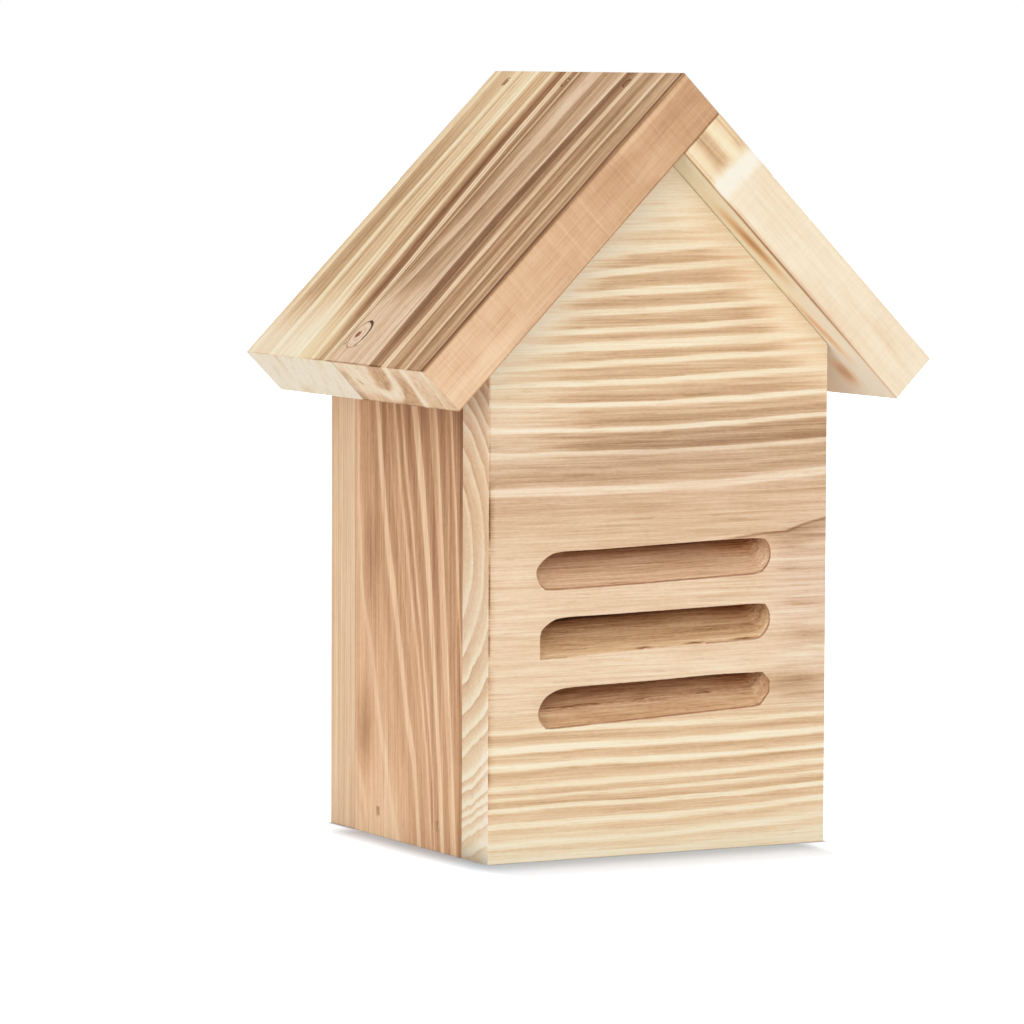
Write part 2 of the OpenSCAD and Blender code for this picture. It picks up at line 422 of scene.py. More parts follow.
def front_wood():
    """Horizontal grain with brown bands, cream at the edges of the gable, paled and warmed there under the
    roof by painted light, and darker in the slots, partly by painted shade.
    """
    wood = Wood("front_wood")
    x, y, z = wood.x, wood.y, wood.z
    noise = noise_on(x, z, y)
    swing = noise((0.016, 0.05), 5) * 0.45 + noise((0.045, 0.16), 6) * 0.22 + noise((0.09, 0.6), 10) * 0.12
    behind = y - FRONT_PITH_Y
    beside = z - FRONT_PITH_Z
    radius = distance(behind, beside)
    nearest = FRONT_PITH_Y - FRONT_Y
    beyond = (radius * radius - nearest ** 2).most(0).root()
    face_z = beside.sign() * beyond + FRONT_PITH_Z
    place = flow(x, face_z + swing, FRONT_PLACES, FRONT_STATIONS)
    level = place.graph(ring_stops(FRONT_RINGS, (-6, 0.15), (216, 0.3)))
    added, height = fibres(noise)
    # The flame passed over the middle of the gable and the whole width below it
    gable = PANEL_HIGH.z - z - x.size()
    patch = noise((0.035, 0.06), 8, 3, 0.6)
    thread = noise((0.022, 0.75), 7, 2, 0.6)
    brushed = patch * 0.7 + thread
    flame = (gable + brushed * 5).rise(3, 21) * 0.92 + 0.08
    flame *= 1 - (x + brushed * 9).rise(-18, -46) * z.rise(112, 122) * 0.5
    flame *= 1 - (x + brushed * 9).rise(34, 56) * z.rise(132, 146) * 0.72
    flame *= (1 + patch * 0.12 + thread * 0.13) * (1 - z.rise(126, 150) * 0.12)
    # Painted light: paler just under the roof's edges, against the shade of the overhang
    level = (level - 0.08) * flame + 0.08 - gable.rise(22, 6) * 0.08
    level += (x.near(4, 12) * z.near(193, 7) * thread.rise(-0.2, 0.7)) * 0.12
    calm = (x + brushed * 3).rise(44, 32) * z.rise(40, 50) * z.rise(106, 96)
    level += calm * (x.rise(-48, -38) * 0.03 + patch * 0.03 + thread * 0.03)
    level += x.near(30, 14) * z.near(157, 12) * 0.07
    level += x.rise(6, 20) * gable.rise(22, 10) * (1 + thread * 0.4) * 0.09
    # Smoke darkens the middle of the dark band and leaves grey lines right of the slots
    smoke = (x + brushed * 8).near(14, 46) * place.near(121.8, 9)
    level += smoke * 0.02
    right = (x + brushed * 3).rise(36, 48) * z.rise(36, 43) * z.rise(104, 92)
    lines = noise((0.02, 0.36), 17, 3, 0.6)
    level += right * (lines.rise(-0.3, 0.9) * 0.3 + thread.rise(0, 0.9) * 0.2)
    shade = x.near(45, 22) * (z + swing * 2).near(49, 7) + x.near(50, 16) * z.near(62.5, 2.6)
    level += shade.least(1) * 0.28
    # A dark wavy line runs from the top slot's right end to the panel's edge
    vein_z = x.graph(VEIN, 400)
    below = vein_z - (z + swing * 0.3)
    level += below.rise(0, 0.6) * below.rise(9, 0.6) * x.rise(20, 46) * 0.24
    level += below.near(0, 0.7) * x.rise(17, 30) * 0.45
    # Scorch along the left edge: a soft brown fade, and dark touches on the arris
    front = wood.facing_y.rise(-0.5, -0.9)
    touch = noise((0, 0.11, 0), 23, 3, 0.65).rise(-0.7, 0.4)
    faded = z.near(101, 14) * 0.34 + z.near(76, 24) * 0.16 + z.near(53, 6) * 0.24
    faded += z.rise(10, 30) * z.rise(52, 44) * 0.13
    level += (x + brushed * 0.5).rise(-54.2, -56.9) * faded
    singed = (z.rise(60, 61.5) * z.rise(112, 104) * 0.32 + z.rise(8, 20) * 0.22) * touch
    level += x.rise(-56.1, -56.7) * front * singed
    # End grain: pale arcs with brown just past them, browner towards the eave
    slot = wood.attribute("slot")
    end = wood.facing_x.size().rise(0.55, 0.85) * (1 - slot)
    aside = z - END_PITH_Z
    wobble = noise((0, 0.07, 0.16), 51) * 0.9 + noise((0, 0.3), 53) * 0.16
    turn = distance(behind, aside) + wobble
    arcs, upper = (turn.graph(arc_stops(row)) for row in (LOWER_ARCS, UPPER_ARCS))
    arcs = arcs.toward(upper, aside.rise(-0.5, 0.5))
    faint = noise((0, 0.05), 52, 3).rise(-0.6, 0.5) * 0.35 + 0.65
    strong = z.rise(96, 120) * 0.35 + z.rise(74, 50) * 0.35 * z.rise(0, 14) + 0.7
    ground = 0.22 + z.rise(30, 60) * 0.05 + z.rise(70, 100) * 0.06 - z.rise(108, 126) * 0.07
    cut = (noise((0, 0.35, 1.6), 55, 2) + noise((0, 0.8), 56, 2)) * 0.7
    cut += noise_on(turn, z, y)((1.1, 0.04), 57, 3, 0.7) * 1.5
    bare_end = (y - FRONT_Y).rise(6, 0.5) * z.rise(52, 30)
    ground += cut * 0.05 - bare_end * 0.1 - z.rise(42, 6) * 0.1
    level = level.toward((arcs - 0.25) * faint * strong + ground, end)
    level += added * (1 - end * 0.5)
    plain = (1 - slot) * (1 - end)
    colour = level.burnt().washed(
        ("rose", plain * z.near(84, 50) * (1 - calm * 0.75)),
        ("rose", end * bare_end),
        ("grey", plain * z.near(116, 13) * 0.45),
        ("straw", plain * (z.rise(128, 142) + z.rise(44, 38)) * 0.5),
        ("grey", plain * (smoke * 0.5 + right * 0.4).least(1)),
        ("straw", end * z.rise(70, 40) * 0.3),
        ("warm", end * z.rise(76, 112) * 0.6),
        # Painted light: peach warmth near the roof's edges, against the grey of the overhang's shade
        ("peach", plain * gable.rise(22, 5) * 0.55),
    )
    colour = colour.mixed(slot_shade(wood, noise, thread, lines, added), slot)
    rim = wood.attribute("rim")
    rag = noise((0.22, 0.5, 0), 43, 2)
    colour = colour.mixed(rgba(SINGED), (rim * (1 + rag * 0.35)).rise(0.08, 0.42) * 0.72)
    colour = colour.mixed(rgba(CHAR_AND_SHADOW), (rim * (1 + rag * 0.22)).rise(0.58, 0.95) * 0.85)
    return finish(wood, colour, height)


def arc_stops(lines):
    """Burn levels across the end grain: each ring is pale, then brown, and fades."""
    stops = [(10, 0.25)]
    for line, following in zip(lines, lines[1:] + (112,)):
        gap = following - line
        stops.extend((
            (line - 0.55, 0.05),
            (line + 0.25, 0.04),
            (line + 0.75, 0.5),
            (line + 0.5 + gap * 0.3, 0.38),
            (line + gap * 0.7, 0.25),
        ))
    return stops


def slot_shade(wood, noise, thread, lines, added):
    """Inside the slots: browned by the cutter, darkest under the upper lip by painted shade, and reddish in
    its right corner.
    """
    x, y, z = wood.x, wood.y, wood.z
    deep = y - FRONT_Y
    # On the sloping lower wall this is the height of the lip in front
    lip = z - deep
    low = lip.rise(51, 49)
    high = lip.rise(69, 71)
    middle = 1 - low - high
    rough = noise((0.45, 1.5), 49, 3, 0.7)
    # Painted shade: the lower wall darkens the deeper it lies, towards the upper lip
    level = 0.46 + low * 0.06 + middle * 0.1 + deep.rise(4.5, 10.5) * 0.16 + rough * 0.07
    level += (high * x.rise(-34, -16) + middle + low * 0.35) * deep.rise(7.6, 9.8) * 0.22
    level += lines * 0.05 + thread * 0.06 + added * 1.2
    ledge = deep + thread * 0.3 + rough * 0.12 + x * 0.004
    torn = noise((0.14, 0.9), 50, 2).rise(-0.1, 0.5)
    # In the lowest slot a torn ledge parts a brown upper strip from a paler one
    broken = ledge.near(5.1, 0.55) * torn * 0.52 + ledge.near(4.3, 1.1) * rough * 0.22
    bright = ledge.near(4.1, 0.55) * rough.rise(-0.3, 0.5) * 0.2 + ledge.near(3.2, 0.9) * 0.08
    level += low * (broken - bright + ledge.rise(4, 5.6) * 0.07)
    # The middle slot's lip has pale splinters with dark dashes between
    dash = x.near(-5, 4) + x.near(12, 5) + x.near(29, 7)
    band = ledge.near(3.9, 1.5) * x.rise(-4, 12) * (rough * 0.1 + 0.12)
    level += middle * (ledge.near(6.3, 0.5) * 0.06 + band)
    level -= middle * deep.near(0.8, 1.2) * (lines * 0.08 + rough * 0.08 + 0.2)
    level += middle * deep.near(0.5, 0.45) * dash * lines.rise(-0.8, 0.2) * 0.7
    level += high * (ledge.near(5.2, 0.4) * 0.13 + ledge.near(2.8, 0.3) * x.rise(0, -20) * 0.09)
    level -= high * ledge.near(1.6, 1.6) * 0.06
    corner = (x + thread * 2).rise(18, 31) * (deep + thread * 0.5).rise(4.5, 8.5) * (high * 0.4 + 0.6)
    level += corner * (0.14 + lines * 0.12)
    end = wood.facing_x.rise(-0.15, -0.6) * deep.rise(9.5, 5)
    arc = noise_on(y, z, x)((1.3, 0.25), 47, 2, 0.6)
    level += end * (arc * 0.14 - 0.06)
    colour = level.burnt().washed(
        ("rose", high * 0.5),
        ("olive", middle * 0.45 + low * ledge.rise(4, 3) * 0.3),
        ("warm", low + middle * 0.8 + high * 0.75),
        # Russet in the right corner, and painted shade that reddens with depth
        ("russet", (corner * 1.2 + deep.rise(5.5, 9.5) * 0.65).least(1)),
    )
    # Painted shadow: a near-black line under the upper lip of the two upper slots, where the lip shades the
    # wall
    lip_shadow = high * (x + rough * 2).rise(-33, -18) * x.rise(36, 26) + middle * x.rise(36, 20)
    return colour.mixed(rgba(CHAR_AND_SHADOW), lip_shadow * (deep + rough * 0.05).rise(9.3, 9.9) * 0.85)


# Left roof board: u runs down the slope from the ridge, v forwards from the back edge, w into the board.
# Places are on v, and each station says where the lines are at one u.
ROOF_PLACES = (0, 3.7, 15.6, 26.8, 38.3, 46.6, 49.4, 54.4, 61, 69.3, 83, 92.6, 106.5, 118)
ROOF_STATIONS = (
    (0, ROOF_PLACES),
    (30, (0, 3.7, 15.7, 27.1, 38.6, 47.4, 50.1, 54.7, 61.5, 68.3, 80.8, 91.3, 105.2, 118)),
    (60, (0, 4, 15.4, 28, 40.4, 49.6, 52.2, 55.2, 61.4, 66.7, 79.3, 91, 104.8, 118)),
    (80, (0, 4, 16.2, 29.8, 42.2, 51.6, 54.3, 55.8, 60.6, 63.8, 79.6, 91.6, 105, 118)),
    (100, (0, 4, 17, 31.9, 43.5, 53, 55.6, 56.3, 57.4, 58.6, 81, 92.6, 105.6, 118)),
    (121, (0, 4, 17.2, 33.5, 45, 53.4, 56, 56.8, 57.6, 58.6, 82.4, 93.2, 106.6, 118)),
)
ROOF_RINGS = (
    (3.7, 1.2, 20, 50, 66, 8), (9.3, 0.6, 60, 63, 66, 10.4), (11.4, 0.8, 58, 60, 62, 12.6),
    (15.5, 1.8, 15, 36, 56, 18.6), (19.9, 0.6, 38, 44, 47, 21), (22.3, 1.6, 34, 39, 43, 24),
    (25.3, 1.1, 15, 27, 31, 26.7), (28.2, 1.2, 12, 44, 72, 31.4), (32.8, 0.6, 58, 66, 73, 34),
    (35.3, 0.8, 56, 59, 60, 36.4), (38.4, 1.5, 20, 48, 100, 43.4), (47.2, 0.9, 22, 46, 62, 48.2),
    (49.1, 0.7, 22, 66, 86, 52.4), (54.4, 0.6, 42, 84, 90, 55.6), (57.8, 1.5, 66, 67, 66, 59.3),
    (62.6, 1.6, 38, 41, 45, 65.2), (67.4, 2.4, 36, 70, 74, 70.8), (74, 1, 60, 65, 68, 76),
    (79, 1.4, 54, 56, 56, 81), (83, 0.9, 32, 84, 100, 85.6), (88.8, 0.8, 80, 83, 80, 90.2),
    (91.8, 0.7, 34, 42, 46, 92.6), (93.4, 0.7, 33, 74, 76, 95.4), (96.6, 0.6, 64, 70, 82, 99),
    (102.8, 1, 58, 62, 66, 104.8), (106.5, 0.9, 32, 82, 88, 107.8), (109.8, 0.8, 70, 73, 77, 110.7),
    (112.2, 1, 58, 66, 72, 114.6), (115.3, 0.4, 60, 100, 116, 116.4),
)
RIDGE_BRADS = (13, 51, 89)
RIDGE_BRAD_DOWN = 4.5
KNOT_ACROSS = 61
KNOT_DOWN = 108.9


def slope_places(wood, side):
    """Distance down a roof slope from the ridge, and depth below its top. The side is -1 left, 1 right."""
    drop = HOUSE_H - wood.z
    out = wood.x * side
    return (out + drop) * DIAGONAL, (drop - out) * DIAGONAL


def left_roof_wood():
    """Grain down the slope, brown bands between pale lines, and one knot near the eave."""
    wood = Wood("left_roof_wood")
    v = ROOF_BACK_Y - wood.y
    u, w = slope_places(wood, -1)
    noise = noise_on(u, v, w)
    swing = noise((0.014, 0.05), 2) * 0.4 + noise((0.05, 0.2), 4) * 0.18
    # The lines part round the knot
    part = u.near(KNOT_DOWN, 22) * v.near(KNOT_ACROSS, 12)
    swing += (v - KNOT_ACROSS) * part * -0.25
    place = flow(u, v + swing, ROOF_PLACES, ROOF_STATIONS)
    level = place.graph(ring_stops(ROOF_RINGS, (-6, 0.6), (119, 0.5)))
    added, height = fibres(noise, 1.25)
    patch = noise((0.02, 0.05), 8, 3, 0.6)
    cloud = noise((0.05, 0.09), 11, 3, 0.6)
    thread = noise((0.01, 0.5), 19, 2, 0.6)
    # Paler near the eave at the back, near the ridge and round the knot
    eave = (u + patch * 9).rise(88, 117) * (v + patch * 6).rise(56, 26)
    level *= 1 - eave * 0.7
    level *= 1 - (u + patch * 9).rise(40, 2) * (v + patch * 8).rise(44, 30) * 0.32
    level += u.near(60, 38) * v.near(27, 22) * 0.06
    bloom = u.near(16, 26) * v.near(63.5, 7)
    level = level.toward(0.33 + cloud * 0.05, bloom * 0.75)
    beside = v.near(59, 5) * (u + cloud * 6).rise(30, 60)
    level = level.toward(0.66 + cloud * 0.05, beside * 0.45)
    fading = (u + patch * 6).rise(88, 116) * v.rise(56.5, 52) * v.rise(24, 34)
    level *= 1 - fading * 0.3
    level += u.near(45, 26) * (v.near(39, 9) * 0.08 + v.near(61, 8) * 0.05)
    level += u.rise(84, 100) * (v.rise(12, 4) * 0.05 - v.near(39, 6) * 0.04)
    level += (1 - eave) * v.rise(12, 4) * 0.04 + v.near(20, 12) * u.rise(30, 8) * 0.04
    level -= u.rise(24, 6) * v.rise(70, 92) * 0.05
    quiet = (u + patch * 8).rise(84, 101) * v.rise(55.3, 56.6) * v.rise(82, 77.5)
    level = level.toward(0.36 + thread * 0.03 + cloud * 0.05, quiet * 0.9)
    level += (u + patch * 12).near(58, 44) * v.rise(54.5, 56) * v.rise(84, 74) * 0.05
    level -= (u + patch * 8).rise(94, 118) * v.rise(80, 84) * v.rise(106, 92) * 0.1
    level += thread * 0.055 + cloud * 0.03
    singed = cloud.rise(-0.6, 0.3) * 0.14 + v.rise(52, 57) * v.rise(93, 88) * 0.26 + v.near(48, 5) * 0.2
    level += v.rise(1, 0.2) * 0.12 + u.rise(119.6, 120) * singed + added * (1 - eave * 0.55)
    # A darker ring round each brad's recess, paler inside it
    for brad in RIDGE_BRADS:
        away = distance(v - brad, (u - RIDGE_BRAD_DOWN) * 0.8) + cloud * 0.15
        level += away.near(1.3, 0.45) * 0.34 - away.rise(1.1, 0.6) * 0.22
    # Planed front edge: warm, crossed by saw marks
    face = wood.facing_y.rise(-0.5, -0.85)
    level = level.toward(saw_marks(u, w), face)
    # End grain at the eave
    end = wood.lean.rise(-0.55, -0.85)
    level = level.toward(eave_grain(v, w) + added * 0.4, end)
    top = (1 - face) * (1 - end)
    browner = (place.near(44, 5) + place.near(32, 3)).least(1) * (1 - eave) * u.rise(110, 90)
    pinkish = top * v.rise(55, 60) * v.rise(84, 80)
    colour = level.burnt().washed(
        ("cool", top * (1 - v.near(44, 10) * 0.6)),
        ("straw", top * (1 - eave) * v.rise(52, 30) * 0.85),
        ("olive", top * fading * v.rise(32, 38) * 0.5),
        ("warm", top * browner * 0.5),
        ("peach", top * v.rise(84, 92) * u.rise(18, 50) * 0.4),
        ("rose", pinkish * 0.6),
        ("pale", pinkish * 0.4),
        ("warm", face * 0.75),
        ("warm", end * v.rise(58, 64) * 0.6),
        ("pale", end * v.rise(66, 54) * 0.35),
        ("straw", end * v.near(50, 6) * w.rise(7, 2)),
    )
    return finish(wood, knot(colour, u, v, top), height, 0.16, 0.66, 0.05)


def knot(colour, u, v, top):
    """A small round knot: pale inside, a reddish heart, and a dark broken bark ring."""
    side = (v - KNOT_ACROSS - 0.4) / 4.2
    along = (u - KNOT_DOWN) / 5.3
    rag = noise_on(v, u, u)((0.5, 0.5, 0), 71, 3, 0.7)
    away = distance(side, along) + rag * 0.045
    ripple = ((away * 17 + rag).wave() * 0.5 + 0.5) * away.rise(0.98, 0.8)
    inside = (ripple * 0.13 + 0.27 + rag * 0.08).burnt().tinted("rose").tinted("grey", 0.4)
    colour = colour.mixed(inside, away.rise(1.03, 0.95) * top)
    colour = colour.mixed((rag * 0.12 + 0.8).burnt(), away.near(1, 0.11) * top * 0.75)
    # The bark is thick along the upper front of the ring and thins out
    turn = side * 0.8 - along * 0.6
    bark = away.near(0.96, 0.2) * turn.rise(0.3, 0.62) + away.near(0.99, 0.09) * turn.rise(-0.35, 0) * 0.8
    bark += away.near(1, 0.08) * side.rise(-0.6, -0.95) * 0.7
    colour = colour.mixed(rgba(CHAR_AND_SHADOW), (bark + rag * 0.1).rise(0.3, 0.72) * top * 0.9)
    tail = (v - 57.3 + (u - 113) * 0.5).near(0, 0.6) * u.near(113.2, 2)
    tail += (v - 64.9 + (u - 113.6) * 0.9).near(0, 0.6) * u.near(113.4, 1.5)
    colour = colour.mixed(rgba(CHAR_AND_SHADOW), (tail + rag * tail).rise(0.3, 0.9) * top * 0.8)
    heart = ((side + 0.25) * (side + 0.25) * 1.5 + along * along * 2.2).root()
    return colour.mixed(rgba(RUST), (heart + rag * 0.16).rise(0.5, 0.2) * top * 0.95)


SAWN_EDGE = ((-5, 0.6), (12, 0.58), (40, 0.49), (70, 0.45), (100, 0.37), (125, 0.34))


def saw_marks(u, w):
    """Burn on the planed edge of the left roof board, which faces the front."""
    noise = noise_on(u, w, w)
    length = noise((0.03, 0.16, 0), 81, 3, 0.6)
    cloud = noise((0.06, 0.1, 0), 83, 3, 0.6)
    saw = noise((1.15, 0.05, 0), 85, 3, 0.75)
    fine = noise((0.05, 1.6, 0), 87, 2)
    level = u.graph(SAWN_EDGE, 400)
    level += length * 0.07 + cloud * 0.07 + saw * 0.085 + fine * 0.06
    level += u.near(62, 44) * 0.03 + u.near(88, 20) * 0.03
    for at, width, share in ((50.5, 0.7, 1), (60, 0.9, 1), (65, 0.5, 0.6), (82, 0.7, 1)):
        level -= u.near(at, width) * share * 0.045
    level -= w.near(1.5, 1.3) * u.rise(40, 20) * 0.16
    level -= w.near(12.5, 4.5) * u.rise(60, 105) * 0.1
    level += w.near(5, 4.5) * u.near(32, 26) * 0.05
    lines = w.near(7.2, 0.5) * 0.6 + w.near(9.6, 0.5) + w.near(13.2, 0.4) * 0.8
    level += lines * length.rise(-0.4, 0.6) * 0.1
    level += w.rise(0.8, 0.1) * 0.3 + w.rise(15.8, 16.5) * 0.34
    chip = (u - 26).near(0, 2.2) * (w - 15.6).near(0, 1)
    return level - chip * 0.1


def eave_grain(v, w):
    """Burn on the eave's end grain: cream, a dark line, then brown zones between pale arcs."""
    noise = noise_on(v, w, w)
    wobble = noise((0.09, 0.15, 0), 91) * 0.9
    slant = noise_on(v + w * 0.5, w, w)((0.3, 0.07, 0), 93, 3, 0.6)
    fine = noise_on(v + w * 0.3, w, w)((1, 0.25, 0), 95, 2, 0.6)
    cloud = noise((0.1, 0.14, 0), 97, 3, 0.6)
    mottle = noise((0.45, 0.5, 0), 99, 3, 0.6)
    level = slant.rise(-0.2, 0.9) * 0.17 + fine * 0.04 + cloud.rise(0, 1) * 0.1 + mottle.rise(0, 1) * 0.08
    level += (v - w * 0.1).near(9, 7) * slant.rise(-0.3, 0.6) * 0.1
    level += v.near(21.5, 4.5) * w.near(14.8, 3) * 0.22
    level += v.near(48, 5) * w.rise(6, 0.5) * 0.15
    bend = v + wobble * 0.6
    # A dark line crosses the board, with a brown sliver past it
    past = v + w * 0.12 - 58.6 + wobble * 0.2
    level += past.near(0, 0.6) * 0.5
    sliver = past.rise(0, 0.4) * (past + mottle * 0.6).rise(4.6, 3.2) * w.rise(0.5, 5)
    level += sliver * (slant * 0.12 + mottle * 0.1 + 0.26)
    level += past.near(4.6, 0.5) * w.rise(1, 4) * 0.3
    beyond = past.rise(0, 1)
    level += beyond * (fine * 0.05 + mottle * 0.06 + 0.08)
    stroke_along = (v - 66.3) * 0.62 + (w - 8.2) * 0.78
    stroke_aside = (v - 66.3) * 0.78 - (w - 8.2) * 0.62
    level += stroke_aside.near(0, 0.5) * stroke_along.near(0, 2.2) * 0.8
    # A pale arc hangs from the top arris, brown at its front and past it
    arc = distance((bend - 80.5) / 12.2, (w + 2) / 15.2)
    level += arc.rise(0.9, 0.76) * (w * 0.55 + bend).rise(79.5, 83) * (mottle * 0.08 + 0.42)
    level += beyond * arc.rise(1.08, 1.2) * w.rise(11, 15) * bend.rise(92, 84) * 0.24
    zone = arc.rise(1.1, 1.22) * bend.rise(80, 88) * (bend + w * 0.33).rise(103.2, 100.5)
    level += zone * (w.rise(0, 9) * 0.22 + mottle * 0.08 + 0.2)
    level -= arc.near(0.99, 0.11) * beyond * 0.12
    front = (bend + w * 0.33).rise(104, 107.5)
    level += front * (w.rise(2, 12) * 0.1 + mottle * 0.07 + 0.1)
    pale = (bend + w * 0.33).near(103.9, 1.5) + (bend + w * 0.36).near(116.6, 1.7)
    level -= pale * 0.16
    level += w.rise(0.5, 0.1) * (v.rise(52, 58) * v.rise(93, 90) * 0.3 + 0.06)
    return level + w.rise(15.7, 16.4) * v.rise(50, 60) * 0.34


# Left side board: v runs forwards from the back edge and w into the board. Stations go down from its top.
SIDE_PLACES = (0, 7, 10, 18.5, 31.6, 43, 47.3, 55.8, 69, 79.3, 90)
SIDE_STATIONS = (
    (131, SIDE_PLACES),
    (105, (0, 7, 10, 18.8, 35.6, 47.2, 52, 61.3, 72.5, 82, 92)),
    (75, (0, 7, 10, 21, 43, 54, 58, 66.3, 75.6, 84.5, 94)),
    (55, (0, 7.5, 11, 28.3, 48.2, 59, 62.2, 68.7, 77.5, 86.5, 96)),
    (25, (0, 12, 15, 37.5, 56.5, 65, 67.6, 72.5, 80.7, 88.5, 98)),
    (0, (0, 22, 26, 46.5, 60, 68, 69.5, 74.8, 83, 90, 100)),
)
SIDE_RINGS = (
    (7, 0.8, 36, 46, 48, 8.6), (10, 0.8, 36, 48, 50, 14), (18.4, 0.8, 33, 52, 60, 22),
    (24.5, 1, 56, 58, 67, 28), (31.5, 2, 31, 64, 71, 34.5), (38, 0.6, 56, 60, 63, 39.2),
    (42.8, 1.2, 40, 62, 76, 45.3), (47.5, 1, 38, 64, 78, 51), (55.8, 3.2, 29, 64, 76, 60.8),
    (65.3, 1.2, 46, 48, 47, 66.6), (68.9, 1.3, 30, 64, 71, 72.5), (75, 1, 64, 68, 72, 76.8),
    (79.3, 1, 36, 66, 72, 84),
)
SIDE_BRADS = ((32.1, 7.5), (71.1, 7.5))


def left_side_wood():
    """Upright grain: reddish tan with pale streaks that lean to the front on their way down."""
    wood = Wood("left_side_wood")
    v = BACK_Y - wood.y
    w = wood.x + HALF_W
    z = wood.z
    noise = noise_on(z, v, w)
    swing = noise((0.012, 0.04), 2) * 0.45 + noise((0.04, 0.16), 4) * 0.2
    stations = [(-at, row) for at, row in SIDE_STATIONS]
    place = flow(-z, v + swing + w * 0.3, SIDE_PLACES, stations)
    level = place.graph(ring_stops(SIDE_RINGS, (-8, 0.4), (101, 0.7)))
    added, height = fibres(noise, 1.05)
    patch = noise((0.02, 0.05), 8, 3, 0.6)
    cloud = noise((0.05, 0.1), 11, 3, 0.6)
    # Lighter on the way down, with two singed patches
    level *= 1 - (z + patch * 14).rise(118, 40) * 0.2
    level *= 1 - (z + patch * 8).rise(32, 4) * v.near(36, 26) * 0.34
    level += (v + patch * 3).near(22.5, 9) * (z + patch * 6).near(32, 20) * 0.27
    level += (v + patch * 3).near(28, 9) * (z + patch * 6).near(84, 26) * 0.15
    level += (z + patch * 7).rise(106, 134) * v.rise(30, 36) * 0.07
    combed = noise((0.006, 0.5), 61, 3, 0.7)
    level += v.rise(83.6, 85.7) * 0.2 + cloud * 0.035 + combed * (z.rise(40, 110) * 0.03 + 0.08)
    level += z.near(62, 30) * 0.03
    end = wood.facing_z.size().rise(0.6, 0.9)
    colour = (level + added).burnt().tinted("warm").tinted("russet", 0.12)
    for at, height_at in SIDE_BRADS:
        away = ((v - at) / 1.5).size().most(((z - height_at) / 1.8).size())
        colour = colour.mixed((0.8 + cloud * 0.1).burnt(), away.rise(1, 0.7) * 0.35)
    return finish(wood, colour.tinted("straw", end * 0.5), height, 0.12)


def ringed(places, spacing, seed, raw, burnt, bend=0):
    """Burn, relief and patches of evenly spaced rings. The places run along, across and into the grain."""
    u, v, w = places
    noise = noise_on(u, v, w)
    swing = noise((0.01, 0.03), seed) * 2.6 + noise((0.03, 0.12), seed + 3) * 0.5
    count = (v + w * bend + swing) / spacing
    ring = count.floor()
    strong = random(ring, seed) * 0.6 + 0.5
    body = (count - ring).graph(((0, 0.05), (0.1, 0.85), (0.45, 1), (0.86, 0.7), (0.93, 0), (1, 0.05)), 9)
    patch = noise((0.02, 0.05), seed + 5, 3, 0.6)
    added, height = fibres(noise)
    level = raw + body * strong * (burnt - raw) * (1 + patch * 0.25) + patch * 0.05
    return level + added, height - body * 0.5, patch


def right_side_wood():
    """The left side's twin: upright grain, flamed tan with pale leaning streaks."""
    wood = Wood("right_side_wood")
    places = (wood.z, BACK_Y - wood.y + wood.z * -0.12, HALF_W - wood.x)
    level, height, patch = ringed(places, 8.5, 12, 0.3, 0.74, 0.4)
    fade = (wood.z + patch * 16).rise(110, 20)
    colour = (level - fade * 0.08).burnt().tinted("warm", 0.9)
    return finish(wood, colour, height, 0.12)


def back_wood():
    """Upright grain in fine straight lines, flamed on the back."""
    wood = Wood("back_wood")
    x, y, z = wood.x, wood.y, wood.z
    level, height, _ = ringed((z, x + y * 2.1, y), 3.3, 31, 0.33, 0.47)
    fine = noise_on(z, y, x)((0.004, 0.6), 37, 3, 0.75)
    back = wood.facing_y.rise(0.5, 0.9)
    flame = noise_on(z, x, y)((0.012, 0.03), 38, 3).rise(-0.4, 0.9)
    edge = wood.facing_x.size().rise(0.6, 0.9)
    level += fine * (edge * 0.09 + 0.06) + flame * back * 0.28
    level -= edge * (0.04 - z.rise(80, 130) * 0.04)
    return finish(wood, level.burnt().tinted("peach", 0.7), height)


def floor_wood():
    """Raw softwood below and inside."""
    wood = Wood("floor_wood")
    level, height, _ = ringed((wood.x, wood.y, wood.z), 6, 44, 0.1, 0.36, 0.6)
    return finish(wood, level.burnt().tinted("straw", 0.5), height)


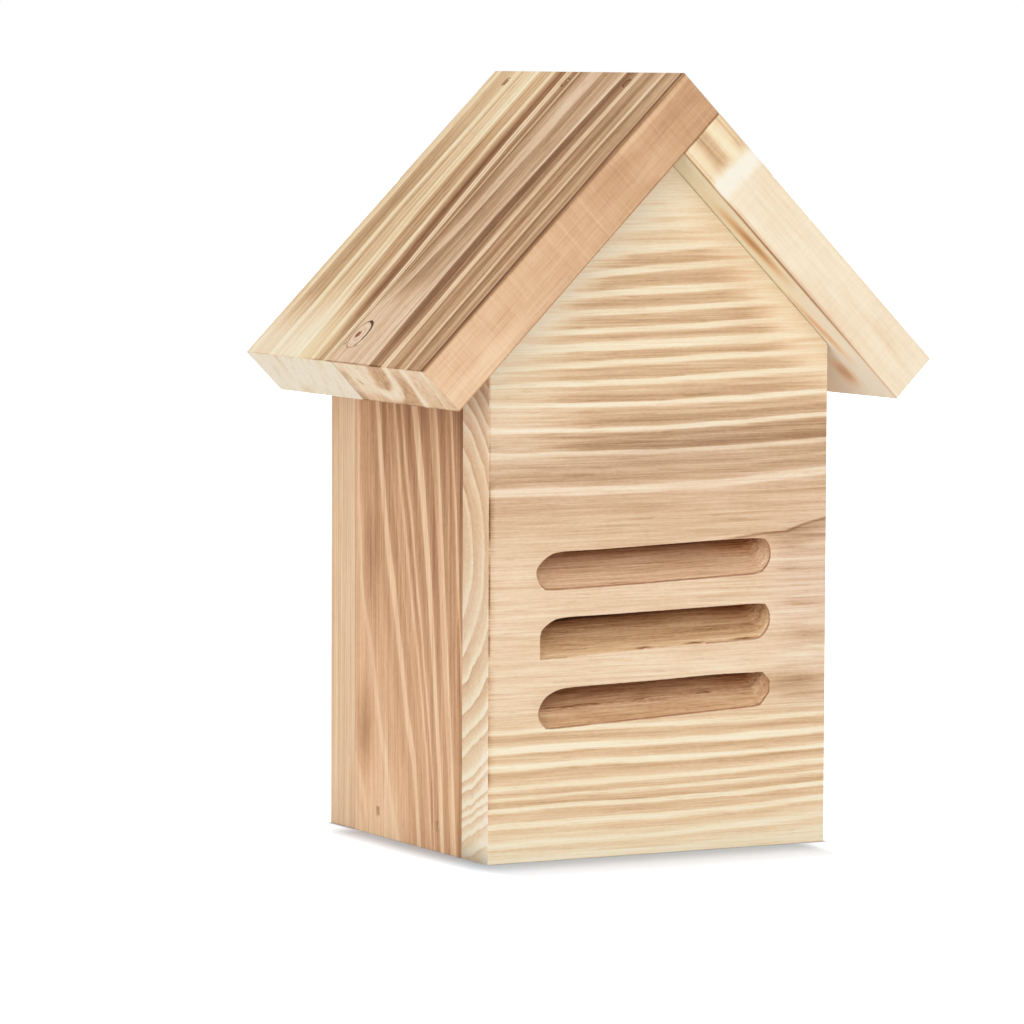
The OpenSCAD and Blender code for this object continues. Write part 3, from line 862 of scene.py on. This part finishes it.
def right_roof_wood():
    """Almost unflamed: pale cream, with a straw patch near the ridge and a warm streak below."""
    wood = Wood("right_roof_wood")
    u, w = slope_places(wood, 1)
    v = wood.y - ROOF_LOW.y
    noise = noise_on(u, v, w)
    level, height, patch = ringed((u, v, w), 11, 57, 0.12, 0.44, 1.1)
    level += wood.lean.rise(0.6, 0.9) * patch.rise(-0.2, 0.9) * 0.22
    cloud = noise((0.03, 0.03, 0.1), 63, 3, 0.6)
    ripple = noise((0.022, 0, 0.55), 66, 3, 0.6)
    # The planed front edge: a straw patch, an almost white one past it, and a tan lower arris
    face = wood.facing_y.rise(-0.5, -0.85)
    grain = noise((0.05, 0, 1.3), 67, 2, 0.7)
    saw = noise((1.1, 0, 0.06), 68, 3, 0.7)
    pale = 0.17 + cloud * 0.1 + ripple * 0.06 + grain * 0.06 + saw * 0.05 - u.rise(30, 75) * 0.03
    patches = (u + ripple * 3).rise(31, 27)
    straw = w.near(9.6, 4.4) * (grain * 0.1 + 0.36) + w.near(1.5, 2.6) * (grain * 0.2 + 0.26)
    pale += patches * (straw + w.near(15.4, 0.8) * 0.16 - w.near(4.9, 1.6) * 0.06 + 0.02)
    bare = (u + cloud * 2 + w * 0.15).near(34.6, 5)
    pale += w.rise(14.6, 16.2) * u.rise(34, 42) * u.rise(112, 90) * 0.26
    pale += w.near(6, 4) * (u + cloud * 5).near(103, 14) * 0.1 - bare * 0.24
    pale += w.rise(0.7, 0.1) * 0.1 + w.rise(16.1, 16.5) * 0.12 + u.rise(16.9, 16.55) * 0.5
    level = level.toward(pale, face)
    # The underside is cream, with flamed streaks and a brown patch lower down
    under = wood.lean.rise(-0.6, -0.9)
    mist = noise((0.05, 0.35, 0.1), 69, 3, 0.6)
    shown = mist * 0.04 + cloud * 0.04 - 0.03
    run = u + cloud * 4
    flame = run.near(54, 25) * (v + mist * 0.7 + (u - 54) * 0.09).near(6.6, 5.2)
    lesser = run.near(92, 20) * (v + mist * 0.8 + (u - 92) * 0.12).near(10, 3.4)
    patch = (u + cloud * 2).near(110, 9) * (v + mist).near(18, 7.5)
    shown += flame * 0.66 + lesser * 0.42 + patch * 0.52 - v.near(13.6, 0.9) * 0.04
    shown += u.rise(70, 30) * 0.06
    level = level.toward(shown, under)
    # The arris between them is browner
    level += w.rise(15.9, 16.35) * v.rise(1.1, 0.3) * (0.5 - u.rise(60, 112) * 0.25)
    colour = level.burnt().washed(
        ("pale", (face * (bare + 0.45) + under * (u - v).rise(66, 92) * 0.8).least(1)),
        ("grey", face * bare * 0.5),
        ("straw", face * patches),
        ("straw", under * (u - v).rise(84, 56)),
        ("warm", under * (flame + lesser + patch).least(1)),
    )
    return finish(wood, colour, height)


def steel(name, bright, dull, rough, streaks):
    """Bare metal with fine drawing marks and dull spots."""
    metal = Wood(name)
    noise = noise_on(metal.x, metal.y, metal.z)
    marks = noise(streaks, 5, 3, 0.7)
    spots = noise((0.9, 0.9), 8, 3, 0.6).rise(0, 1)
    shade = marks.ramp([(-1, rgba(dull)), (0, rgba(bright)), (1, rgba(bright))], 0)
    metal.shader.inputs["Metallic"].default_value = 1
    shade = shade.mixed(rgba(dull), spots * 0.5)
    return metal.finish(shade, rough + spots * 0.15 + marks * 0.05, marks, 0.25, 0.03)


# Pieces
def placed(name, data):
    """A new object in the scene."""
    made = bpy.data.objects.new(name, data)
    bpy.context.scene.collection.objects.link(made)
    return made


def solid(name, bm, material):
    """A new object of a finished mesh."""
    mesh = bpy.data.meshes.new(name)
    bm.to_mesh(mesh)
    bm.free()
    mesh.materials.append(material)
    return placed(name, mesh)


def smooth_loop(points):
    """A closed smooth curve through given points. A point marked sharp keeps its corner."""
    made = []
    count = len(points)
    for i in range(count):
        p0, p1, p2, p3 = (points[(i + k) % count] for k in (-1, 0, 1, 2))
        a, b, c, d = (Vector(p[:2]) for p in (p0, p1, p2, p3))
        sharp_start = len(p1) > 2
        sharp_end = len(p2) > 2
        out = (c - b) if sharp_start else (c - a) / 2
        into = (c - b) if sharp_end else (d - b) / 2
        steps = max(1, round((c - b).length * LOOP_DENSITY))
        for k in range(steps):
            t = k / steps
            s = 1 - t
            made.append((b * (s + 3 * t) + out * t) * s ** 2 + (c * (3 * s + t) - into * s) * t ** 2)
    return made


# Outlines of the slots' mouths on the front face, from the lower left corner anticlockwise
SLOT_OUTLINES = (
    (
        (-36, 39), (-20, 39.7), (0, 40.6), (20, 41.6), (32.5, 42.2), (34.6, 42.7, 1), (37.4, 46, 1),
        (37.5, 49.5, 1), (35.2, 52, 1), (20, 52.1), (0, 51.4), (-20, 50.9), (-31, 50.5), (-35.5, 49.4),
        (-38.6, 47.2), (-40.2, 44), (-39.6, 41), (-38, 39.4),
    ),
    (
        (-39.7, 59.3, 1), (-34, 59.4), (-20, 60.2), (0, 61), (20, 61.8), (32, 62.2), (35.2, 63.4),
        (37.2, 66.2), (37.4, 69.3), (36.3, 71.8), (34, 72.5), (20, 72.3), (0, 71.8), (-20, 71.4),
        (-32, 71.1), (-35.8, 70.2), (-38.6, 68.4), (-39.7, 66.2),
    ),
    (
        (-36.2, 79.7), (-20, 80), (0, 80.6), (20, 81.3), (32.6, 81.8), (35.4, 83), (37.2, 85.4),
        (37.5, 88.2), (36.4, 90.9), (33.6, 92), (20, 91.9), (0, 91.3), (-20, 90.7), (-32, 90.5),
        (-36.4, 89.7), (-39.4, 87.6), (-41, 85.2), (-40.2, 82), (-38.6, 80.3),
    ),
)
SLOT_TILT = math.radians(1.6)
RIM = 0.18
SLOT_DEPTHS = (0, 0.05, RIM, 0.34, 0.6, 1.6, 4, 8, 12, PANEL_T - 1, PANEL_T - RIM, PANEL_T)
LIP_MARGIN = 0.17
CHIP_REACH = 2.5
ROUND = 0.3
FACE_EDGE = 0.65
GABLE_GAP = 0.12
BACK_GAP = 0.06
OUTLINE_STEP = 6
LOOP_DENSITY = 0.9


def scorched_lip(number, p):
    """How dark the rim of a slot is at a point of its outline: 0 is bare wood, 0.4 singed and 1 char."""
    middle = (45.6, 65.8, 85.9)[number]
    scallop = smooth_noise(Vector((p.y * 1.3, number * 4, 1)))
    if p.x > 33:
        return (0.55, 0.42 + scallop * 0.5, 0.52 + scallop * 0.7)[number]
    if p.x < -36:
        return (0.3 + max(0, scallop), 0.2, 0.36)[number]
    if p.y > middle:
        along = min(1, max(0, (p.x + 36) / 24))
        return (0.12 + 0.12 * along, 0.95 - 0.25 * max(0, p.x / 33), 0.3 + 0.7 * along)[number]
    return (0.4, 0.04 if p.x < 16 else 0.32, 0.38)[number]


def inset(loop, distance):
    """A closed loop moved inwards, or outwards if the distance is negative, in its own plane."""
    made = []
    count = len(loop)
    for i, point in enumerate(loop):
        before = (point - loop[i - 1]).normalized()
        after = (loop[(i + 1) % count] - point).normalized()
        side = Vector((-before.y - after.y, before.x + after.x))
        if side.length < 1e-6:
            side = Vector((-before.y, before.x))
        side.normalize()
        cosine = max(0.5, side.dot(Vector((-before.y, before.x))))
        made.append(point + side * (distance / cosine))
    return made


def resample(points, step):
    """A closed polygon with extra points along its straight sides."""
    made = []
    for i, point in enumerate(points):
        following = points[(i + 1) % len(points)]
        count = max(1, round((following - point).length / step))
        made.extend(point.lerp(following, k / count) for k in range(count))
    return made


def front_panel_piece():
    """The front panel with eased edges and slots that are chipped at their lips."""
    bm = bmesh.new()
    rim_mark = bm.verts.layers.float.new("rim")
    slot_mark = bm.verts.layers.float.new("slot")
    low = PANEL_LOW
    # The gable ends a little short of the roof on its face, and almost touches it behind
    tip = UNDER_Z - GABLE_GAP * math.sqrt(2)
    lift = (GABLE_GAP - BACK_GAP) * math.sqrt(2)
    shoulder = tip - HALF_W
    corners = [(-HALF_W, low.z), (HALF_W, low.z), (HALF_W, shoulder), (0, tip), (-HALF_W, shoulder)]
    outline = resample([Vector(corner) for corner in corners], OUTLINE_STEP)
    raised = [Vector((p.x, p.y + lift * min(1, p.y / shoulder))) for p in outline]

    def ring(loop, y, shift=Vector((0, 0))):
        return [bm.verts.new((p.x + shift.x, y, p.y + shift.y)) for p in loop]

    def wall(first, second):
        for i in range(len(first)):
            face = bm.faces.new((first[i - 1], first[i], second[i], second[i - 1]))
            face.smooth = True

    def eased(y_face, y_in):
        """Offsets (inset, y) of a rounded edge from a face inwards."""
        sign = 1 if y_in > y_face else -1
        return [
            (ROUND * (1 - math.sin(angle)), y_face + sign * ROUND * (1 - math.cos(angle)))
            for angle in map(math.radians, (0, 30, 60, 90))
        ]

    back = FRONT_Y + PANEL_T
    front_rings = [ring(inset(outline, offset), y) for offset, y in eased(FRONT_Y, back)]
    back_rings = [ring(inset(raised, offset), y) for offset, y in eased(back, FRONT_Y)]
    chain = front_rings + [ring(raised, FRONT_Y + FACE_EDGE)] + back_rings[::-1]
    for first, second in zip(chain, chain[1:]):
        wall(first, second)
    lean = Vector((-math.sin(SLOT_TILT), math.cos(SLOT_TILT)))
    front_edges = [front_rings[0]]
    back_edges = [back_rings[0]]
    for number, points in enumerate(SLOT_OUTLINES):
        mouth = smooth_loop(points)
        throat = smooth_loop([point[:2] for point in points])
        rings = [ring(inset(mouth, -RIM - LIP_MARGIN), FRONT_Y)]
        for depth in SLOT_DEPTHS:
            # The mouth's corners are only on the face, and the cutter's round ends lie behind them
            loop = [p.lerp(q, min(1, depth / 2)) for p, q in zip(mouth, throat)]
            opened = max(0, 1 - depth / RIM) ** 2 + max(0, 1 - (PANEL_T - depth) / RIM)
            fade = max(0, 1 - depth / CHIP_REACH)
            chipped = []
            for p in inset(loop, -RIM * opened):
                # Torn fibres on the middle slot's lower lip, small burrs elsewhere
                lip = 1 if number == 1 and p.y < 63 else 0.25
                chip = smooth_noise(Vector((p.x * 0.55, number * 9, 3))) * 0.34 * lip
                burr = smooth_noise(Vector((p.x * 1.9, p.y * 1.9, number * 5 + 8))) * 0.07
                chipped.append(Vector((p.x, p.y + (chip + burr) * fade)))
            rings.append(ring(chipped, FRONT_Y + depth, lean * depth))
            for vert, p in zip(rings[-1], loop):
                vert[rim_mark] = scorched_lip(number, p) if depth <= RIM else 0
                vert[slot_mark] = 1 if depth > 0.1 else 0
        for first, second in zip(rings, rings[1:]):
            wall(second, first)
        front_edges.append(rings[0])
        back_edges.append(rings[-1])
    for edges in (front_edges, back_edges):
        chosen = []
        for loop in edges:
            for i, vert in enumerate(loop):
                chosen.append(bm.edges.get((vert, loop[(i + 1) % len(loop)])))
        bmesh.ops.triangle_fill(bm, edges=chosen, use_beauty=True)
    bmesh.ops.recalc_face_normals(bm, faces=bm.faces)
    bmesh.ops.scale(bm, vec=(MM, MM, MM), verts=bm.verts)
    made = solid("front_panel_cut", bm, front_wood())
    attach(made, "house")
    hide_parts("front_panel")


def ease(node, width):
    """Slightly rounded edges on a CAD board, which keeps its own mesh."""
    made = NODES[node]
    weld = made.modifiers.new("weld", "WELD")
    weld.merge_threshold = 0.01 * MM
    bevel = made.modifiers.new("ease", "BEVEL")
    bevel.width = width * MM
    bevel.segments = 3
    bevel.limit_method = "ANGLE"
    bevel.angle_limit = math.radians(40)
    bevel.use_clamp_overlap = False
    flat = made.modifiers.new("flat", "WEIGHTED_NORMAL")
    flat.weight = 100
    flat.keep_sharp = False


def paint(node, material):
    NODES[node].data.materials.clear()
    NODES[node].data.materials.append(material)


BOARDS = {
    "back_panel": back_wood,
    "left_side": left_side_wood,
    "right_side": right_side_wood,
    "floor_board": floor_wood,
    "left_roof_board": left_roof_wood,
    "right_roof_board": right_roof_wood,
}
for board, maker in BOARDS.items():
    paint(board, maker())
    ease(board, 0.4)
brad_steel = steel("brad_steel", WIRE, DULL_WIRE, 0.5, (2, 2, 2))
for brads in ("ridge_brads", "left_floor_brads", "right_floor_brads", "back_brads"):
    paint(brads, brad_steel)
paint("hanger_strap", steel("strap_zinc", ZINC, DULL_ZINC, 0.32, (0.15, 2.5, 2.5)))
paint("hanger_screw", steel("screw_zinc", ZINC, DULL_ZINC, 0.28, (1.5, 1.5, 1.5)))
paint("hanger_ring", steel("ring_zinc", ZINC, DULL_ZINC, 0.26, (1.2, 1.2, 1.2)))
front_panel_piece()


# Stage: a white floor that keeps the object's shadow, partly rendered and partly painted, and a white world
SHADOW_LEFT = 24
SHADOW_FRONT = 84
NEAR_SHADOW = (0.58, 0.62, 0.68, 1)
FAR_SHADOW = (0.88, 0.92, 0.97, 1)
WORLD_LIGHT = 0.87
BACKGROUND_RAYS = ("Camera", "Glossy", "Transmission")


def background_rays(tree):
    """1 for the rays that see the plain white background, and 0 for those that light the object."""
    rays = tree.nodes.new("ShaderNodeLightPath")
    seen, glossy, through = (Field(tree, rays.outputs[f"Is {kind} Ray"]) for kind in BACKGROUND_RAYS)
    return seen.most(glossy).most(through)


def stage_floor():
    """White past a soft shadow along the foot of the walls, widest at the front and left: there the glow
    gives way to the rendered shade, and the floor's colour darkens as painted shadow.
    """
    floor = Wood("floor_plane")
    x, y = floor.x, floor.y
    beyond_x = (x.size() - HALF_W).most(0)
    beyond_y = ((y - (FRONT_Y + BACK_Y) / 2).size() - (BACK_Y - FRONT_Y) / 2).most(0)
    away = distance(beyond_x, beyond_y)
    # Where the glow is withheld, longest towards the front and left, the floor shows its rendered shade and
    # painted shadow
    shadow_seam = distance((-HALF_W - x).most(0) / SHADOW_LEFT, (FRONT_Y - y).most(0) / SHADOW_FRONT).rise(1, 0)
    shadow_seam *= x.rise(HALF_W + 2, HALF_W - 12) * y.rise(BACK_Y + 1, BACK_Y - 24)
    shadow_seam = shadow_seam.most(away.rise(3, 0) * 0.9)
    # Painted shadow: the floor's own colour darkens and cools within 20 mm of the walls
    shaded = away.rise(20, 0).ramp([(0, FAR_SHADOW), (1, NEAR_SHADOW)], 0)
    glow = (1 - shadow_seam) * background_rays(floor.tree)
    sockets = floor.shader.inputs
    sockets["Roughness"].default_value = 1
    sockets["Specular IOR Level"].default_value = 0
    sockets["Emission Color"].default_value = WHITE
    floor.tree.links.new(shaded.socket, sockets["Base Color"])
    floor.tree.links.new(glow.socket, sockets["Emission Strength"])
    bm = bmesh.new()
    bmesh.ops.create_grid(bm, x_segments=1, y_segments=1, size=8)
    solid("floor_plane", bm, floor.material)


def world():
    made = bpy.data.worlds.new("studio")
    bpy.context.scene.world = made
    made.use_nodes = True
    tree = made.node_tree
    background = tree.nodes["Background"]
    background.inputs["Color"].default_value = WHITE
    strength = background_rays(tree) * (1 - WORLD_LIGHT) + WORLD_LIGHT
    tree.links.new(strength.socket, background.inputs["Strength"])


def lamp(name, place, aim, size, power):
    """A soft square lamp at a place in metres."""
    data = bpy.data.lights.new(name, "AREA")
    data.shape = "SQUARE"
    data.size = size
    data.energy = power
    made = placed(name, data)
    made.location = place
    made.rotation_mode = "QUATERNION"
    made.rotation_quaternion = (Vector(aim) - Vector(place)).to_track_quat("-Z", "Y")


AZIMUTH, ELEVATION, ROLL = map(math.radians, (-27.977, 4.6044, -0.2261))
CAMERA_PLACE = (-0.82447, -1.50618, 0.23593)
LENS = 200.98


def camera():
    """The photograph's view, from the left of the front, through a long lens."""
    back = Vector((
        math.sin(AZIMUTH) * math.cos(ELEVATION),
        -math.cos(AZIMUTH) * math.cos(ELEVATION),
        math.sin(ELEVATION),
    ))
    right = Vector((math.cos(AZIMUTH), math.sin(AZIMUTH), 0))
    turn = Matrix((right, back.cross(right), back)).transposed() @ Matrix.Rotation(-ROLL, 3, "Z")
    data = bpy.data.cameras.new("camera")
    data.sensor_width = 36
    data.lens = LENS
    data.clip_end = 50
    made = placed("camera", data)
    made.matrix_world = Matrix.Translation(CAMERA_PLACE) @ turn.to_4x4()
    bpy.context.scene.camera = made


stage_floor()
world()
lamp("key", (-0.9, -2.4, 1.5), (0, 0, 0.1), 1.6, 9)
lamp("low", (-2, -1.7, 0.35), (0, 0, 0.1), 1.2, 5)
lamp("under", (-1.9, -0.9, 0.12), (0, 0, 0.15), 0.8, 4.2)
lamp("fill", (0.9, -2.3, 0.2), (0, 0, 0.15), 1.2, 3.5)
camera()
bpy.context.scene.view_settings.view_transform = "Standard"
